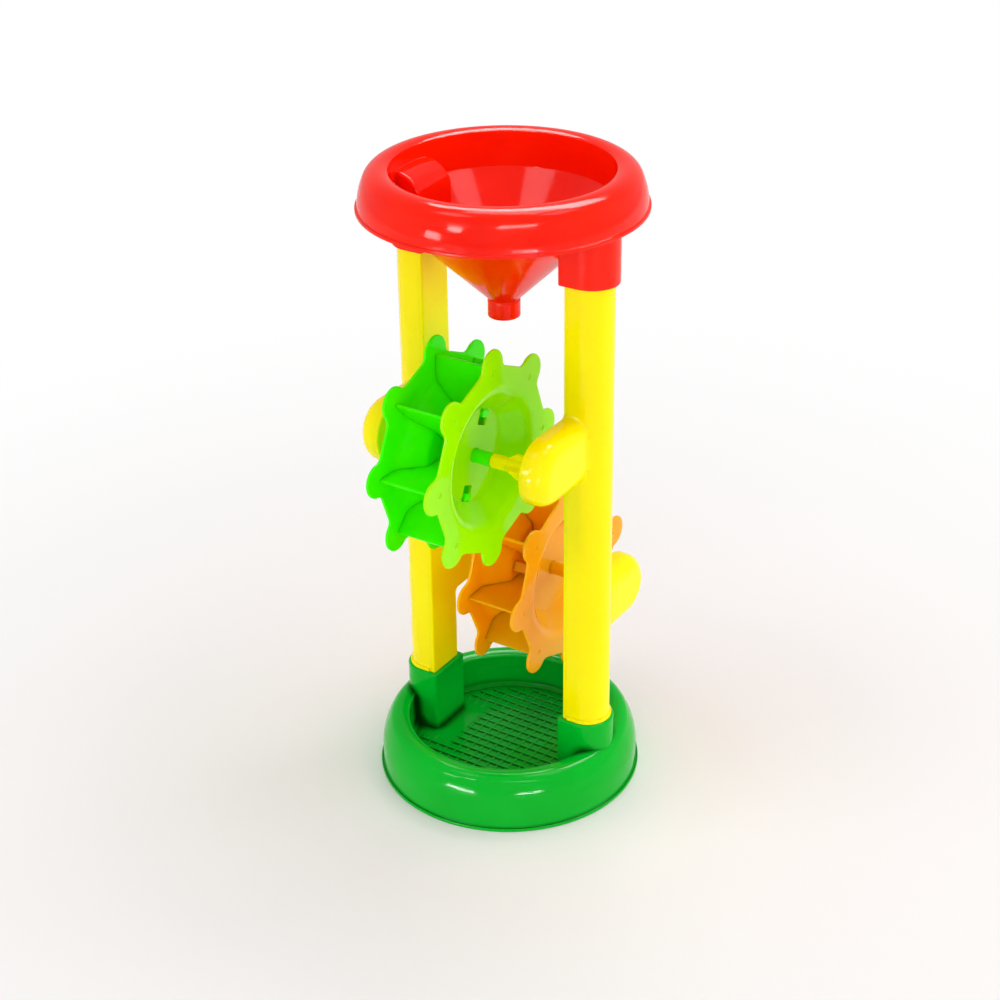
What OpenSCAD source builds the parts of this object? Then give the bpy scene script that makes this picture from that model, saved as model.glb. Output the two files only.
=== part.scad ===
// Sand wheel toy: a funnel hopper and a round tray joined by two hollow legs,
// with two paddle wheels that spin on plastic pins between the legs.
// Millimetres. Z is up, X runs through both legs, -Y is the front.
// The origin is the middle of the tray's underside, on the ground.

/* [Stand] */
// Length of a stub from the leg's inner face to the shoulder behind its pin
stub_length = 22.65; // [21.5:0.05:23.5]
// Width of a leg from front to back
leg_width = 21.1; // [20:0.1:22]
// Length of the straight sides of a leg before its rounded back
leg_straight = 7.8; // [7:0.1:8.6]
// Wall thickness of the leg shells and leg backs
leg_wall = 1.8; // [1.5:0.1:2]
// Wall thickness of the hopper and the tray
wall = 2; // [1.6:0.1:2.2]
// Height of the lower wheel above the ground
ground_gap = 40.6; // [38:0.1:44]
// Gap between the two wheels
wheel_gap = 7.2; // [5:0.1:10]
// Height of the spout above the top of the upper wheel
spout_gap = 1.8; // [0:0.1:6]

/* [Hopper] */
// Distance from the back of a leg out to the wall of the hopper rim
hopper_margin = 8.1; // [7.6:0.1:8.8]
// Reach of the small lip under the hopper rim
hopper_lip = 0.9; // [0.6:0.1:1.6]
// Distance that the rim's wall leans in from its lip to its crest
hopper_lean = 10.1; // [9:0.1:10.5]
// Rounding of the crest of the hopper rim
hopper_rounding = 8; // [7:0.1:8.5]
// Height of the hopper rim from its lip to its crest
hopper_rim_height = 18.5; // [18:0.1:20]
// Height of the upright inner wall of the bowl below the crest
bowl_wall_height = 18; // [16:0.5:19]
// Outside radius of the spout
spout_radius = 7.4; // [7:0.1:8]
// Length of the spout below the cone
spout_length = 8; // [6:0.5:10]
// Distance from the crest down to the mouth of the spout
hopper_depth = 70.2; // [66:0.1:76]
// Length of the hopper's leg sockets from their open end to the crest
hopper_socket_depth = 44.3; // [38:0.1:48]

/* [Tray] */
// Distance from the back of a leg out to the wall of the tray ring
tray_margin = 7.7; // [7:0.1:8.4]
// Reach of the small lip on the ground
tray_lip = 1.2; // [0.8:0.1:2]
// Distance that the ring's wall leans in from its foot to its crest
tray_lean = 9.2; // [8.4:0.1:10]
// Rounding of the crest of the tray ring
tray_rounding = 6; // [5.5:0.1:6.5]
// Height of the crest of the tray ring
tray_height = 27.6; // [26:0.1:30]
// Height of the tray floor above the ground
tray_floor_height = 9; // [7:0.5:10]
// Height of the leg sockets above the tray floor
tray_socket_height = 32.4; // [26:0.1:38]

/* [Wheels] */
// Distance of each axle in front of or behind the middle plane
axle_offset = 33.4; // [31:0.1:36]
// Angle at which the upper wheel rests
upper_wheel_angle = -1.8; // [-22:0.1:22]
// Angle at which the lower wheel rests, a quarter turn from the upper wheel
lower_wheel_angle = 92.2; // [70:0.1:114]
// Radius of a wheel over its lobes
wheel_tip_radius = 53; // [48:0.5:56]
// Radius of the round end of a lobe
lobe_radius = 8; // [7.6:0.1:8.4]
// Height of a lobe above the straight edge beside it
lobe_height = 10; // [9:0.1:10.5]
// Radius of the fillet between a lobe and the straight edge
lobe_fillet = 4; // [3.4:0.1:4.4]
// Width of a wheel over both discs
wheel_width = 31.7; // [30:0.1:34]
// Distance of the wheel's middle from the stand's middle plane, to the left
wheel_shift = 1.05; // [0:0.05:1.4]
// Thickness of discs, dish walls and floors
wheel_wall = 1.5; // [1.2:0.1:1.8]
// Width of the flat of a disc between its straight edge and its dish
disc_flat = 11; // [10:0.1:12]
// Distance that the dish narrows from the disc to its floor
dish_slope = 10.2; // [9:0.1:11]
// Depth of the dish from the disc to its floor
dish_depth = 9.8; // [9:0.1:10.5]
// Distance from the tip of a lobe down to the outer edge of a vane
vane_setback = 8.5; // [8:0.1:10]
// Thickness of a vane
vane_thickness = 1.4; // [1.2:0.1:1.8]
// Outside radius of the hub tube
hub_radius = 3.2; // [3:0.1:3.6]
// Half the length of the hub tube
hub_half_length = 14.4; // [13:0.1:16]

/* [Pins and pods] */
// Radius of a pin
pin_radius = 1.7; // [1.5:0.05:1.8]
// Length of a pin inside the hub
pin_length = 6; // [4:0.5:8]
// Running clearance around a pin
pin_clearance = 0.05; // [0.03:0.01:0.1]
// Gap between the end of the hub tube and the shoulder of a stub
end_play = 0.3; // [0.2:0.05:0.5]
// Radius of a stub behind its pin
stub_radius = 3.3; // [3.1:0.1:3.6]
// Reach of the ribs that stiffen a stub
stub_rib_radius = 6.3; // [6:0.1:7]
// Radius of the round end of a pod
pod_radius = 15.7; // [15:0.1:17]
// Depth of a pod from the leg's inner face
pod_depth = 12.3; // [12:0.1:14]
// Rounding of a pod's outer edge
pod_rounding = 8; // [7:0.1:9]
// Height of a pod's middle above its axle
pod_rise = 1.8; // [1:0.1:2.4]

/* [Hidden] */
$fn = 96;
// wheels, from the middle of a wheel outwards
lobe_angle = 45;
valley_radius = wheel_tip_radius - lobe_height;
vane_radius = wheel_tip_radius - vane_setback;
dish_radius = valley_radius - disc_flat;
dish_floor_radius = dish_radius - dish_slope;
half_width = wheel_width / 2;
floor_x = half_width - dish_depth;
dish_angle = atan2(dish_depth, dish_slope);
fillet_bite = 0.02;
flare_radius = 8;
flare_centre = dish_radius + flare_radius * tan(dish_angle / 2);
corner_radius = 2;
corner_centre = dish_floor_radius - corner_radius * tan(dish_angle / 2);
vane_gap = 0.1;
hub_fit = 0.1;
dent_radius = 1.2;
dent_depth = 0.6;
dent_drop = 11;
dent_circle = wheel_tip_radius - dent_drop;
slot_long = 7.4;
slot_wide = 6.8;
slot_margin = 0.5;
slot_circle = dish_floor_radius - slot_margin - slot_long / 2;
arm_thickness = 2.4;
arm_width = 4.8;
hook_overhang = 0.25;
hook_reach = slot_long / 2 + hook_overhang;
hook_rise = 0.2;
hook_height = 1;
// legs, from their inner face outwards
shoulder_x = hub_half_length + end_play;
leg_face_x = shoulder_x + stub_length;
leg_back_x = leg_face_x + leg_wall;
leg_radius = leg_width / 2;
leg_centre_x = leg_face_x + leg_straight;
leg_outer_x = leg_centre_x + leg_radius;
rib_distance = 7.9;
rib_start_x = shoulder_x + rib_distance;
rib_thickness = 1.6;
rib_steep = 0.6;
rib_slant = 4.6;
pod_top_x = leg_face_x + pod_depth;
pod_root = 6;
// heights, from the ground up
tray_socket_top = tray_floor_height + tray_socket_height;
lower_axle_z = ground_gap + wheel_tip_radius;
axle_distance = 2 * wheel_tip_radius + wheel_gap;
upper_axle_z = lower_axle_z + sqrt(axle_distance * axle_distance - 4 * axle_offset * axle_offset);
spout_bottom = upper_axle_z + wheel_tip_radius + spout_gap;
stand_height = spout_bottom + hopper_depth;
spout_top = spout_bottom + spout_length;
bowl_corner = stand_height - bowl_wall_height;
socket_bottom = stand_height - hopper_socket_depth;
crown_drop = 7.9;
socket_crown = stand_height - crown_drop;
leg_bottom = tray_floor_height;
leg_drop = 18;
leg_top = stand_height - leg_drop;
// sockets and their crowns
socket_fit = 0.15;
socket_wall = 2;
socket_start_x = leg_face_x - socket_fit - socket_wall;
crown_rounding = 13;
crown_bend_x = socket_start_x + crown_rounding;
crown_inset = 1.6;
collar_height = 1.8;
collar_reach = 1;
collar_end_x = leg_face_x + 3;
// rings of the hopper and the tray
lip_thickness = 1.6;
hopper_bend_height = 0.5;
hopper_wall_radius = leg_outer_x + hopper_margin;
hopper_crest_radius = hopper_wall_radius - hopper_lean;
hopper_crest_reach = 4;
bowl_radius = hopper_crest_radius - hopper_crest_reach;
bowl_joint = 6;
spout_bore = spout_radius - wall;
cone_lip = 0.9;
cone_step = 0.6;
tray_bend_height = 10;
tray_wall_radius = leg_outer_x + tray_margin;
tray_crest_radius = tray_wall_radius - tray_lean;
tray_crest_reach = 4.4;
tray_inner_radius = tray_crest_radius - tray_crest_reach;
tray_wall_slope = 2.3;
tray_floor_radius = tray_inner_radius - tray_wall_slope;
tray_corner = 1.6;
tray_wall_drop = 8;
// pegs that join the two halves of a leg
peg_radius = 2;
peg_fit = 0.1;
peg_length = 9.5;
peg_tube_radius = 4;
peg_tube_start = 2;
low_peg_rise = 21;
high_peg_drop = 16;
peg_heights = [leg_bottom + low_peg_rise, (lower_axle_z + upper_axle_z) / 2, leg_top - high_peg_drop];
// depth by which two shapes of one piece sink into each other
seam = 0.4;
// reach of a cutting shape beyond the face that it opens
over = 1;
// size of a cutting shape that has to pass all the way through
past = 60;

// Half section of a rolled ring: inner wall, crest and outer wall, moved inwards by inset.
// The crest is a small arc and the outer wall a large arc that run into each other.
module ring_area(wall_r, crest_r, rounding, height, inner_r, start_z, inset) {
    drop = height - start_z;
    lean = wall_r - crest_r;
    big_r = (lean * lean + drop * drop - 2 * drop * rounding) / (2 * (lean - rounding));
    crest_z = height - rounding;
    big_x = wall_r - big_r;
    meet = atan2(crest_z - start_z, crest_r - big_x);
    inner_turn = 180 - acos((crest_r - inner_r - inset) / (rounding - inset));
    polygon(concat([[inner_r + inset, 0]],
        [for (part = [0:0.1:1]) let (turn = inner_turn + part * (meet - inner_turn))
            [crest_r, crest_z] + (rounding - inset) * [cos(turn), sin(turn)]],
        [for (part = [0.2:0.2:1]) let (turn = meet * (1 - part))
            [big_x, start_z] + (big_r - inset) * [cos(turn), sin(turn)]],
        [[wall_r - inset, 0]]));
}

// Thin section of a rolled ring that is open underneath, with its lip.
module ring_section(wall_r, crest_r, rounding, height, inner_r, start_z, lip, inner_foot) {
    difference() {
        ring_area(wall_r, crest_r, rounding, height, inner_r, start_z, 0);
        // the hollow is open below
        translate([0, -over])
            ring_area(wall_r, crest_r, rounding, height + over, inner_r, start_z + over, wall);
        // the inner wall ends at this height
        translate([inner_r - over, -over])
            square([wall + 2 * over, inner_foot + over]);
    }
    translate([wall_r - wall / 2, 0])
        square([lip + wall / 2, lip_thickness]);
}

// Plan of a leg: flat towards the wheels, rounded outside, grown by extra.
module leg_plan(extra) {
    translate([leg_face_x - extra, -leg_radius - extra])
        square([leg_straight + extra, leg_width + 2 * extra]);
    intersection() {
        translate([leg_centre_x, 0])
            circle(r = leg_radius + extra);
        translate([leg_centre_x, -past / 2])
            square([past, past]);
    }
}

// Side view of a socket's crown: its inner top edge is rounded. Height counts from zero.
module crown_side(start_x, rounding, top) {
    translate([crown_bend_x, 0])
        square([past, top]);
    translate([start_x, 0])
        square([crown_bend_x - start_x, top - rounding]);
    intersection() {
        translate([crown_bend_x, top - rounding])
            circle(r = rounding);
        translate([start_x - over, top - rounding])
            square([crown_bend_x - start_x + over, rounding + over]);
    }
}

// Outside of one hopper socket with its rounded crown.
module hopper_socket_body() {
    intersection() {
        translate([0, 0, socket_bottom])
            linear_extrude(socket_crown - socket_bottom)
                leg_plan(socket_fit + socket_wall);
        translate([0, past / 2, socket_bottom])
            rotate([90, 0, 0])
                linear_extrude(past)
                    crown_side(socket_start_x, crown_rounding, socket_crown - socket_bottom);
    }
}

// Inside of one hopper socket: the leg's seat and the empty crown above it.
module hopper_socket_room() {
    translate([0, 0, socket_bottom - over])
        linear_extrude(leg_top - socket_bottom + over)
            leg_plan(socket_fit);
    intersection() {
        translate([0, 0, leg_top - over])
            linear_extrude(socket_crown - socket_wall - leg_top + over)
                leg_plan(-crown_inset);
        translate([0, past / 2, socket_bottom])
            rotate([90, 0, 0])
                linear_extrude(past)
                    crown_side(socket_start_x + socket_wall, crown_rounding - socket_wall,
                        socket_crown - socket_wall - socket_bottom);
    }
}

module hopper() {
    color("#ff2a00")
    difference() {
        union() {
            translate([0, 0, stand_height - hopper_rim_height])
                rotate_extrude()
                    ring_section(hopper_wall_radius, hopper_crest_radius, hopper_rounding,
                        hopper_rim_height, bowl_radius, hopper_bend_height, hopper_lip, 0);
            // cone and spout
            rotate_extrude()
                polygon([[bowl_radius, bowl_corner + bowl_joint], [bowl_radius, bowl_corner],
                    [spout_bore, spout_top + cone_step], [spout_bore, spout_bottom],
                    [spout_radius, spout_bottom], [spout_radius, spout_top],
                    [spout_bore + cone_lip, spout_top], [bowl_radius + wall, bowl_corner - cone_step],
                    [bowl_radius + wall, bowl_corner + bowl_joint]]);
            for (side = [0, 1])
                mirror([side, 0, 0])
                    hopper_socket_body();
        }
        for (side = [0, 1])
            mirror([side, 0, 0])
                hopper_socket_room();
    }
}

module base_tray() {
    color("#00af32")
    difference() {
        union() {
            rotate_extrude()
                ring_section(tray_wall_radius, tray_crest_radius, tray_rounding, tray_height,
                    tray_inner_radius, tray_bend_height, tray_lip, tray_floor_height);
            // inner wall and floor of the tray
            rotate_extrude()
                polygon([[0, tray_floor_height], [tray_floor_radius, tray_floor_height],
                    [tray_floor_radius + tray_corner, tray_floor_height + tray_corner],
                    [tray_inner_radius, tray_height - tray_wall_drop],
                    [tray_inner_radius + wall, tray_height - tray_wall_drop],
                    [tray_inner_radius + wall, tray_floor_height],
                    [tray_floor_radius + wall, tray_floor_height - wall], [0, tray_floor_height - wall]]);
            for (side = [0, 1])
                mirror([side, 0, 0])
                    translate([0, 0, tray_floor_height - wall])
                        linear_extrude(tray_socket_height + wall)
                            leg_plan(socket_fit + socket_wall);
        }
        for (side = [0, 1])
            mirror([side, 0, 0])
                translate([0, 0, tray_floor_height])
                    linear_extrude(past)
                        leg_plan(socket_fit);
    }
}

// Half section of a pod: flat top with a rounded outer edge. It is drawn outwards from its middle.
module pod_half(radius, depth, rounding) {
    square([radius - rounding, depth]);
    translate([radius - rounding, 0])
        square([rounding, depth - rounding]);
    intersection() {
        translate([radius - rounding, depth - rounding])
            circle(r = rounding);
        translate([radius - rounding, depth - rounding])
            square([rounding, rounding]);
    }
}

// Solid pod in front of the leg, moved inwards by inset. It points to -Y and runs back into the leg.
// An inset pod also reaches over the shell's open side, which it cuts.
module pod(middle_z, inset) {
    start_x = inset > 0 ? leg_back_x - over : leg_back_x;
    radius = pod_radius - inset;
    depth = pod_top_x - inset - start_x;
    rounding = pod_rounding - inset;
    run = axle_offset - pod_root + inset;
    translate([start_x, -axle_offset, middle_z]) {
        rotate([0, 90, 0])
            rotate([0, 0, 180])
                rotate_extrude(angle = 180)
                    pod_half(radius, depth, rounding);
        rotate([0, -90, -90])
            linear_extrude(run) {
                pod_half(radius, depth, rounding);
                mirror([1, 0])
                    pod_half(radius, depth, rounding);
            }
    }
}

// Inner face outline of a leg with both of its pods, seen along X (drawn in Y and Z).
module back_outline(pod_middles) {
    translate([-leg_radius, leg_bottom])
        square([leg_width, leg_top - leg_bottom]);
    for (item = pod_middles) {
        translate([item[0], item[1]])
            circle(r = pod_radius);
        translate([min(item[0], 0), item[1] - pod_radius])
            square([abs(item[0]), 2 * pod_radius]);
    }
}

// Right-hand leg shell: rounded outside, both pods, collar and peg sockets.
module leg_shell() {
    difference() {
        union() {
            intersection() {
                translate([0, 0, leg_bottom])
                    linear_extrude(leg_top - leg_bottom)
                        leg_plan(0);
                translate([leg_back_x, -past / 2, 0])
                    cube([past, past, stand_height]);
            }
            // collar that stands on the rim of the tray socket
            translate([0, 0, tray_socket_top])
                linear_extrude(collar_height)
                    intersection() {
                        leg_plan(collar_reach);
                        translate([collar_end_x, -past / 2])
                            square([past, past]);
                    }
            pod(upper_axle_z + pod_rise, 0);
            mirror([0, 1, 0])
                pod(lower_axle_z + pod_rise, 0);
        }
        // hollow of the leg
        translate([0, 0, leg_bottom + leg_wall])
            linear_extrude(leg_top - leg_bottom - 2 * leg_wall)
                intersection() {
                    leg_plan(-leg_wall);
                    translate([leg_back_x - over, -past / 2])
                        square([past, past]);
                }
        // hollows of the pods
        pod(upper_axle_z + pod_rise, leg_wall);
        mirror([0, 1, 0])
            pod(lower_axle_z + pod_rise, leg_wall);
    }
    // tubes that take the pegs of the leg back
    for (height = peg_heights)
        translate([leg_back_x + peg_tube_start, 0, height])
            rotate([0, 90, 0])
                difference() {
                    cylinder(r = peg_tube_radius,
                        h = leg_outer_x - leg_wall + seam - leg_back_x - peg_tube_start);
                    translate([0, 0, -over])
                        cylinder(r = peg_radius + peg_fit, h = peg_length + over);
                }
}

// Side view of a stiffening rib of a stub, along the stub and outwards.
module rib_side(slope) {
    polygon([[rib_start_x, stub_radius - seam], [rib_start_x + slope, stub_rib_radius],
        [leg_face_x + seam, stub_rib_radius], [leg_face_x + seam, stub_radius - seam]]);
}

// One stub with its pin, on the axle line, pointing to the middle of the stand.
module stub() {
    translate([shoulder_x, 0, 0])
        rotate([0, 90, 0])
            cylinder(r = stub_radius, h = stub_length + seam);
    translate([shoulder_x - pin_length, 0, 0])
        rotate([0, 90, 0])
            cylinder(r = pin_radius, h = pin_length + seam);
    for (turn = [0, 90, 180, 270])
        rotate([turn, 0, 0])
            translate([0, rib_thickness / 2, 0])
                rotate([90, 0, 0])
                    linear_extrude(rib_thickness)
                        rib_side(turn == 0 ? rib_steep : rib_slant);
}

// Right-hand leg back: the flat face with both stubs and the pegs.
module leg_back() {
    translate([leg_face_x, 0, 0])
        rotate([90, 0, 90])
            linear_extrude(leg_wall)
                back_outline([[-axle_offset, upper_axle_z + pod_rise],
                    [axle_offset, lower_axle_z + pod_rise]]);
    translate([0, -axle_offset, upper_axle_z])
        stub();
    translate([0, axle_offset, lower_axle_z])
        stub();
    for (height = peg_heights)
        translate([leg_back_x - seam, 0, height])
            rotate([0, 90, 0])
                cylinder(r = peg_radius, h = peg_length + seam);
}

module right_leg_shell() {
    color("#ffee00")
    leg_shell();
}

module left_leg_shell() {
    color("#ffee00")
    mirror([1, 0, 0])
        leg_shell();
}

module right_leg_back() {
    color("#ffdc00")
    leg_back();
}

module left_leg_back() {
    color("#ffdc00")
    mirror([1, 0, 0])
        leg_back();
}

// Outline of a wheel disc: eight round lobes joined by straight edges. The circle that cuts a
// fillet sinks a hair into the lobe and the straight edge, so that the curves cross cleanly.
module disc_outline() {
    lobe_circle = wheel_tip_radius - lobe_radius;
    along = lobe_circle * cos(lobe_angle / 2);
    across = lobe_circle * sin(lobe_angle / 2);
    fillet_y = valley_radius + lobe_fillet - fillet_bite;
    span = lobe_radius + lobe_fillet - fillet_bite;
    rise = fillet_y - along;
    fillet_x = across - sqrt(span * span - rise * rise);
    circle(r = valley_radius / cos(lobe_angle / 2), $fn = 8);
    for (turn = [0:lobe_angle:359])
        rotate(turn)
            translate([lobe_circle, 0])
                circle(r = lobe_radius);
    for (turn = [0:lobe_angle:359], side = [0, 1])
        rotate(turn + lobe_angle / 2 - 90)
            mirror([side, 0])
                difference() {
                    polygon([[fillet_x, valley_radius - seam], [fillet_x, fillet_y], [across, along]]);
                    translate([fillet_x, fillet_y])
                        circle(r = lobe_fillet);
                }
}

// Points of the dish line from the disc to the floor, moved inwards by inset.
// Its two bends are arcs that touch the disc, the cone and the floor.
function dish_line(inset) = concat(
    [for (part = [0:0.125:1]) let (turn = 90 + part * dish_angle)
        [flare_centre + (flare_radius - inset) * cos(turn),
            half_width - flare_radius + (flare_radius - inset) * sin(turn)]],
    [for (part = [0:0.25:1]) let (turn = 270 + (1 - part) * dish_angle)
        [corner_centre + (corner_radius + inset) * cos(turn),
            floor_x + corner_radius + (corner_radius + inset) * sin(turn)]]);

function flip(points) = [for (step = [len(points) - 1:-1:0]) points[step]];

// Thin section of one dish with its floor, drawn as radius and distance along the axle.
module dish_section() {
    polygon(concat([[flare_centre + seam, half_width]], dish_line(0),
        [[hub_radius - seam, floor_x], [hub_radius - seam, floor_x - wheel_wall]],
        flip(dish_line(wheel_wall)), [[flare_centre + seam, half_width - wheel_wall]]));
}

// One disc with its dish, standing at +Z in the wheel's own frame.
module disc_and_dish() {
    translate([0, 0, half_width - wheel_wall])
        linear_extrude(wheel_wall)
            difference() {
                disc_outline();
                circle(r = flare_centre);
            }
    rotate_extrude()
        dish_section();
}

// Small round dents near the lobes.
module dents() {
    for (turn = [0:lobe_angle:359])
        rotate(turn)
            translate([dent_circle, 0, half_width - dent_depth])
                cylinder(r = dent_radius, h = dent_depth + over);
}

// Cover half of a wheel: disc, dish, slots for the snap arms and the hole for the hub.
module cover_half() {
    difference() {
        disc_and_dish();
        dents();
        cylinder(r = hub_radius + hub_fit, h = past);
        for (turn = [0, 180])
            rotate(turn - lobe_angle / 2)
                translate([slot_circle - slot_long / 2, -slot_wide / 2, 0])
                    cube([slot_long, slot_wide, past]);
    }
}

// Space between the two discs, where the vanes stand. It sinks a seam deep into the paddle
// half's own disc and dish, and stays a small gap away from the cover.
module vane_room() {
    paddle_inset = wheel_wall - seam;
    cover_inset = wheel_wall + vane_gap;
    rotate_extrude()
        polygon(concat([[hub_radius - seam, paddle_inset - floor_x]],
            [for (point = flip(dish_line(paddle_inset))) [point[0], -point[1]]],
            [[vane_radius, paddle_inset - half_width], [vane_radius, half_width - cover_inset]],
            dish_line(cover_inset), [[hub_radius - seam, floor_x - cover_inset]]));
}

// Paddle half of a wheel: disc, dish, hub tube, eight vanes and two snap arms.
module paddle_half() {
    difference() {
        union() {
            mirror([0, 0, 1])
                difference() {
                    disc_and_dish();
                    dents();
                }
            intersection() {
                vane_room();
                union() {
                    for (turn = [0:lobe_angle:179])
                        rotate(turn)
                            translate([-past, -vane_thickness / 2, -past])
                                cube([2 * past, vane_thickness, 2 * past]);
                }
            }
            translate([0, 0, wheel_shift - hub_half_length])
                cylinder(r = hub_radius, h = 2 * hub_half_length);
            // snap arms with their hooks
            for (turn = [0, 180])
                rotate(turn - lobe_angle / 2) {
                    translate([slot_circle, -arm_width / 2, wheel_wall - floor_x - seam])
                        cube([arm_thickness, arm_width,
                            2 * floor_x - wheel_wall + seam + hook_rise + hook_height]);
                    translate([slot_circle, -arm_width / 2, floor_x + hook_rise])
                        cube([hook_reach, arm_width, hook_height]);
                }
        }
        translate([0, 0, -past])
            cylinder(r = pin_radius + pin_clearance, h = 2 * past);
    }
}

// Puts a wheel drawn around Z on its axle line. Its cover faces the right leg.
module on_axle(side, axle_z, turn) {
    translate([-wheel_shift, side * axle_offset, axle_z])
        rotate([turn, 0, 0])
            rotate([0, 90, 0])
                rotate([0, 0, 180])
                    children();
}

module upper_wheel_paddles() {
    color("#1ee600")
    on_axle(-1, upper_axle_z, upper_wheel_angle)
        paddle_half();
}

module upper_wheel_cover() {
    color("#8ceb00")
    on_axle(-1, upper_axle_z, upper_wheel_angle)
        cover_half();
}

module lower_wheel_paddles() {
    color("#ff8500")
    on_axle(1, lower_axle_z, lower_wheel_angle)
        paddle_half();
}

module lower_wheel_cover() {
    color("#ffa228")
    on_axle(1, lower_axle_z, lower_wheel_angle)
        cover_half();
}

base_tray();
hopper();
left_leg_shell();
left_leg_back();
right_leg_shell();
right_leg_back();
upper_wheel_paddles();
upper_wheel_cover();
lower_wheel_paddles();
lower_wheel_cover();
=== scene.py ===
import math

import bmesh
import bpy
from mathutils import Matrix, Vector


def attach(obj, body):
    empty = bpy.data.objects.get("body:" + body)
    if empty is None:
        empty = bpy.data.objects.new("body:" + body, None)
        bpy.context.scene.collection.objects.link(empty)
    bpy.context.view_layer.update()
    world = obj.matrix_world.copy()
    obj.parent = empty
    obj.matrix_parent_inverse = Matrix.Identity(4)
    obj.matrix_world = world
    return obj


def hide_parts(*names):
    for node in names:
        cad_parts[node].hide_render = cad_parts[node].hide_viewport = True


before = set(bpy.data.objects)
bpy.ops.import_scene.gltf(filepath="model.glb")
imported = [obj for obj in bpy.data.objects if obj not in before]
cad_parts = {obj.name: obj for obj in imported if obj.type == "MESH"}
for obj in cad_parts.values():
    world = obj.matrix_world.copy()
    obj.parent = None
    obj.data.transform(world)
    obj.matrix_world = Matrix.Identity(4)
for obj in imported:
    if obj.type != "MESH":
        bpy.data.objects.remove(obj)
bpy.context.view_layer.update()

# Base tray: one injection moulding in green plastic. A hollow rolled ring stands on a small lip,
# inside it an upright wall runs down to a floor with a moulded grid of ridges, and two leg
# sockets rise from the floor through the ring.

MM = 0.001


def arc(centre, radius, start, end, steps):
    """Points of an arc in a section; the angles are in degrees."""
    points = []
    for step in range(steps + 1):
        turn = math.radians(start + (end - start) * step / steps)
        points.append((centre[0] + radius * math.cos(turn), centre[1] + radius * math.sin(turn)))
    return points


def softened(corners, steps=4):
    """Outline whose corners, given as (x, y) or (x, y, radius), are rounded."""
    points = []
    for index, corner in enumerate(corners):
        radius = corner[2] if len(corner) > 2 else 0
        here = Vector(corner[:2])
        if radius <= 0:
            points.append(tuple(here))
            continue
        to_before = (Vector(corners[index - 1][:2]) - here).normalized()
        to_after = (Vector(corners[(index + 1) % len(corners)][:2]) - here).normalized()
        half = to_before.angle(to_after) / 2
        centre = here + (to_before + to_after).normalized() * radius / math.sin(half)
        first = here + to_before * radius / math.tan(half) - centre
        last = here + to_after * radius / math.tan(half) - centre
        swing = math.atan2(first.x * last.y - first.y * last.x, first.dot(last))
        for step in range(steps + 1):
            turn = swing * step / steps
            points.append((centre.x + first.x * math.cos(turn) - first.y * math.sin(turn),
                           centre.y + first.x * math.sin(turn) + first.y * math.cos(turn)))
    return points


def turned(section, segments=180):
    """Closed shell turned round Z from (radius, height) points in millimetres."""
    shell = bmesh.new()
    rings = []
    for radius, height in section:
        if radius < 0.001:
            rings.append([shell.verts.new((0, 0, height * MM))])
            continue
        ring = []
        for step in range(segments):
            turn = math.tau * step / segments
            place = (radius * MM * math.cos(turn), radius * MM * math.sin(turn), height * MM)
            ring.append(shell.verts.new(place))
        rings.append(ring)
    for index, ring in enumerate(rings):
        before = rings[index - 1]
        for step in range(segments):
            after = (step + 1) % segments
            if len(before) == 1 and len(ring) == 1:
                break
            if len(before) == 1:
                shell.faces.new((before[0], ring[after], ring[step]))
            elif len(ring) == 1:
                shell.faces.new((before[step], before[after], ring[0]))
            else:
                shell.faces.new((before[step], before[after], ring[after], ring[step]))
    bmesh.ops.recalc_face_normals(shell, faces=shell.faces)
    return shell


def lofted(loops):
    """Closed solid through loops of equally many (x, y, z) points in millimetres."""
    solid = bmesh.new()
    rows = [[solid.verts.new([value * MM for value in point]) for point in loop] for loop in loops]
    for low, high in zip(rows, rows[1:]):
        for index in range(len(low)):
            after = (index + 1) % len(low)
            solid.faces.new((low[index], low[after], high[after], high[index]))
    solid.faces.new(list(reversed(rows[0])))
    solid.faces.new(rows[-1])
    bmesh.ops.remove_doubles(solid, verts=solid.verts, dist=1e-6)
    bmesh.ops.dissolve_degenerate(solid, edges=solid.edges, dist=1e-7)
    bmesh.ops.recalc_face_normals(solid, faces=solid.faces)
    return solid


def merged(shells, first=None):
    """Closed shells, which are used up, as one, after the mesh first if there is one."""
    whole = bmesh.new()
    if first:
        whole.from_mesh(first)
    for shell in shells:
        part = bpy.data.meshes.new("part")
        shell.to_mesh(part)
        shell.free()
        whole.from_mesh(part)
        bpy.data.meshes.remove(part)
    return whole


def as_piece(name, shells):
    """One object made of closed shells."""
    whole = merged(shells)
    mesh = bpy.data.meshes.new(name)
    whole.to_mesh(mesh)
    whole.free()
    piece = bpy.data.objects.new(name, mesh)
    bpy.context.scene.collection.objects.link(piece)
    return piece


def moulded_with(piece, shells, operation):
    """Adds the shells to the piece's solid, or cuts them out of it."""
    for shell in shells:
        tool = as_piece("tool", [shell])
        step = piece.modifiers.new("mould", "BOOLEAN")
        step.solver = "EXACT"
        step.operation = operation
        step.object = tool
        seen = piece.evaluated_get(bpy.context.evaluated_depsgraph_get())
        mesh = bpy.data.meshes.new_from_object(seen)
        piece.modifiers.clear()
        piece.data = mesh
        bpy.data.objects.remove(tool)


def add_shells(piece, shells):
    """Joins small closed shells to a piece that carries them."""
    whole = merged(shells, piece.data)
    whole.to_mesh(piece.data)
    whole.free()


def polished(piece, crease=32):
    """Smooth faces between crisp edges, as a polished mould gives them."""
    mesh = piece.data
    mesh.polygons.foreach_set("use_smooth", [True] * len(mesh.polygons))
    mesh.set_sharp_from_angle(angle=math.radians(crease))
    even = piece.modifiers.new("even_shading", "WEIGHTED_NORMAL")
    even.keep_sharp = True
    even.weight = 80


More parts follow.
